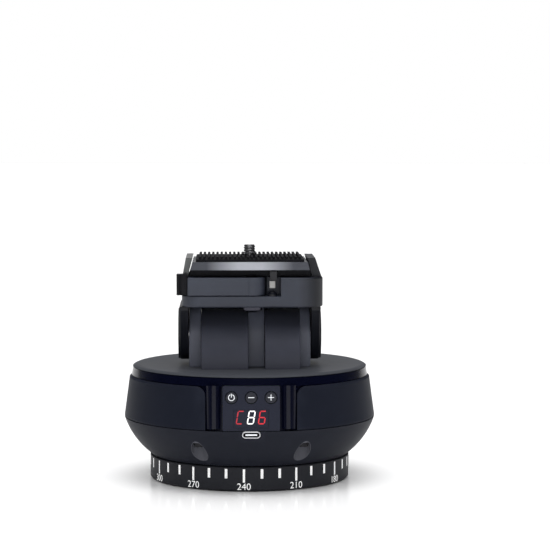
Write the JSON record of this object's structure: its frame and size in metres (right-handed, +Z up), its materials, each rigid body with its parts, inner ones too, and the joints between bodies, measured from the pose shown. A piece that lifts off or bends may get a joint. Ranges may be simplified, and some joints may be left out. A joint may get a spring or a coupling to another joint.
{
  "type": "motorised pan and tilt head",
  "caption": "Motorised pan and tilt head: round turntable on a graduated base, with a display, a tilting yoke and a quick-release camera clamp.",
  "frame": {"origin": "centre of the underside, on the table, on the pan axis", "axes": "+Z up along the pan axis, -Y towards the display, +X along the tilt axis to the viewer's right"},
  "size_m": [0.1292, 0.1291, 0.1202],
  "materials": {
    "base_black": "satin",
    "shell_satin": "satin",
    "shell_gloss": "gloss",
    "cover_satin": "satin",
    "column_satin": "satin",
    "cast_satin": "satin",
    "rubber_black": "matte",
    "steel": "brushed",
    "bright_steel": "polished",
    "brass": "machined",
    "aluminium": "brushed",
    "white_nylon": "matte",
    "board_green": "solder mask",
    "cell_wrap": "shrink wrap",
    "button_black": "satin",
    "smoked": "gloss",
    "led_block": "matte"
  },
  "bodies": {
    "base": {"base_ring": "base_black", "foot_ring": "rubber_black", "tripod_socket": "brass", "pan_gear": "white_nylon", "gear_screws": "steel", "bearing_inner": "steel", "bearing_balls": "bright_steel", "hub_retainer": "aluminium", "retainer_screws": "steel"},
    "head": {"bearing_race": "steel", "chassis": "aluminium", "pan_motor": "steel", "battery_cradle": "shell_satin", "battery_cells": "cell_wrap", "frame_posts": "brass", "tilt_chassis": "aluminium", "tilt_motor": "steel", "lower_shell": "shell_satin", "shell_screws": "steel", "upper_shell": "shell_gloss", "belt_panel": "shell_satin", "top_cover": "cover_satin", "control_panel": "shell_gloss", "display_window": "smoked", "display_module": "led_block", "main_board": "board_green", "tact_switches": "button_black", "usb_socket": "bright_steel", "column_ears": "column_satin", "tilt_bushes": "brass", "column_left": "column_satin", "column_right": "column_satin", "column_band": "column_satin"},
    "pan_drive": {"pan_motor_shaft": "steel", "pan_pinion": "brass"},
    "tilt_drive": {"tilt_motor_shaft": "steel", "tilt_pinion": "brass"},
    "power_key": {"power_button": "button_black"},
    "minus_key": {"minus_button": "button_black"},
    "plus_key": {"plus_button": "button_black"},
    "tilt_yoke": {"yoke": "cast_satin", "side_arms": "shell_satin", "tilt_shaft": "steel", "tilt_sector": "brass", "thrust_washers": "bright_steel", "tilt_screws": "steel", "side_caps": "shell_satin", "lever_bolt": "steel", "spring_cup": "button_black"},
    "clamp_lever": {"lever": "cast_satin", "lever_grip": "rubber_black"},
    "moving_jaw": {"clamp_jaw": "cast_satin"},
    "safety_catch": {"safety_pin": "bright_steel", "safety_tab": "button_black"},
    "plate": {"camera_plate": "base_black", "plate_pad": "rubber_black"},
    "plate_screw": {"camera_screw": "steel"}
  },
  "joints": [
    {"name": "pan", "type": "hinge", "parent": "base", "child": "head", "pos_m": [0, 0, 0.016], "axis": [0, 0, 1], "continuous": true},
    {"name": "pan_pinion_spin", "type": "hinge", "parent": "head", "child": "pan_drive", "pos_m": [0, 0.03, 0.01], "axis": [0, 0, 1], "continuous": true},
    {"name": "tilt", "type": "hinge", "parent": "head", "child": "tilt_yoke", "pos_m": [0, 0, 0.0744], "axis": [1, 0, 0], "range_deg": [-30, 30]},
    {"name": "tilt_pinion_spin", "type": "hinge", "parent": "head", "child": "tilt_drive", "pos_m": [0.018, 0, 0.054], "axis": [1, 0, 0], "range_deg": [-72, 72]},
    {"name": "power_press", "type": "slide", "parent": "head", "child": "power_key", "axis": [0, 0.9947, -0.1028], "range_m": [0, 0.0005], "stiffness_N_per_m": 900, "springref_m": -0.0003},
    {"name": "minus_press", "type": "slide", "parent": "head", "child": "minus_key", "axis": [0, 0.9947, -0.1028], "range_m": [0, 0.0005], "stiffness_N_per_m": 900, "springref_m": -0.0003},
    {"name": "plus_press", "type": "slide", "parent": "head", "child": "plus_key", "axis": [0, 0.9947, -0.1028], "range_m": [0, 0.0005], "stiffness_N_per_m": 900, "springref_m": -0.0003},
    {"name": "lever_swing", "type": "hinge", "parent": "tilt_yoke", "child": "clamp_lever", "pos_m": [0.001, -0.0217, 0.1], "axis": [0, 0, 1], "range_deg": [0, 95]},
    {"name": "jaw_slide", "type": "slide", "parent": "tilt_yoke", "child": "moving_jaw", "axis": [-1, 0, 0], "range_m": [0, 0.00151]},
    {"name": "safety_press", "type": "slide", "parent": "tilt_yoke", "child": "safety_catch", "axis": [0, 0, -1], "range_m": [0, 0.0012], "stiffness_N_per_m": 300, "springref_m": -0.001},
    {"name": "plate_slide", "type": "slide", "parent": "tilt_yoke", "child": "plate", "axis": [0, 1, 0], "range_m": [0, 0.055]},
    {"name": "camera_screw_turn", "type": "hinge", "parent": "plate", "child": "plate_screw", "pos_m": [0, 0, 0.108], "axis": [0, 0, 1], "continuous": true}
  ],
  "couplings": [
    {"joint": "pan_pinion_spin", "follows": "pan", "ratio": 4},
    {"joint": "tilt_pinion_spin", "follows": "tilt", "ratio": -2.4},
    {"joint": "jaw_slide", "follows": "lever_swing", "m_per_rad": 0.00090467}
  ]
}
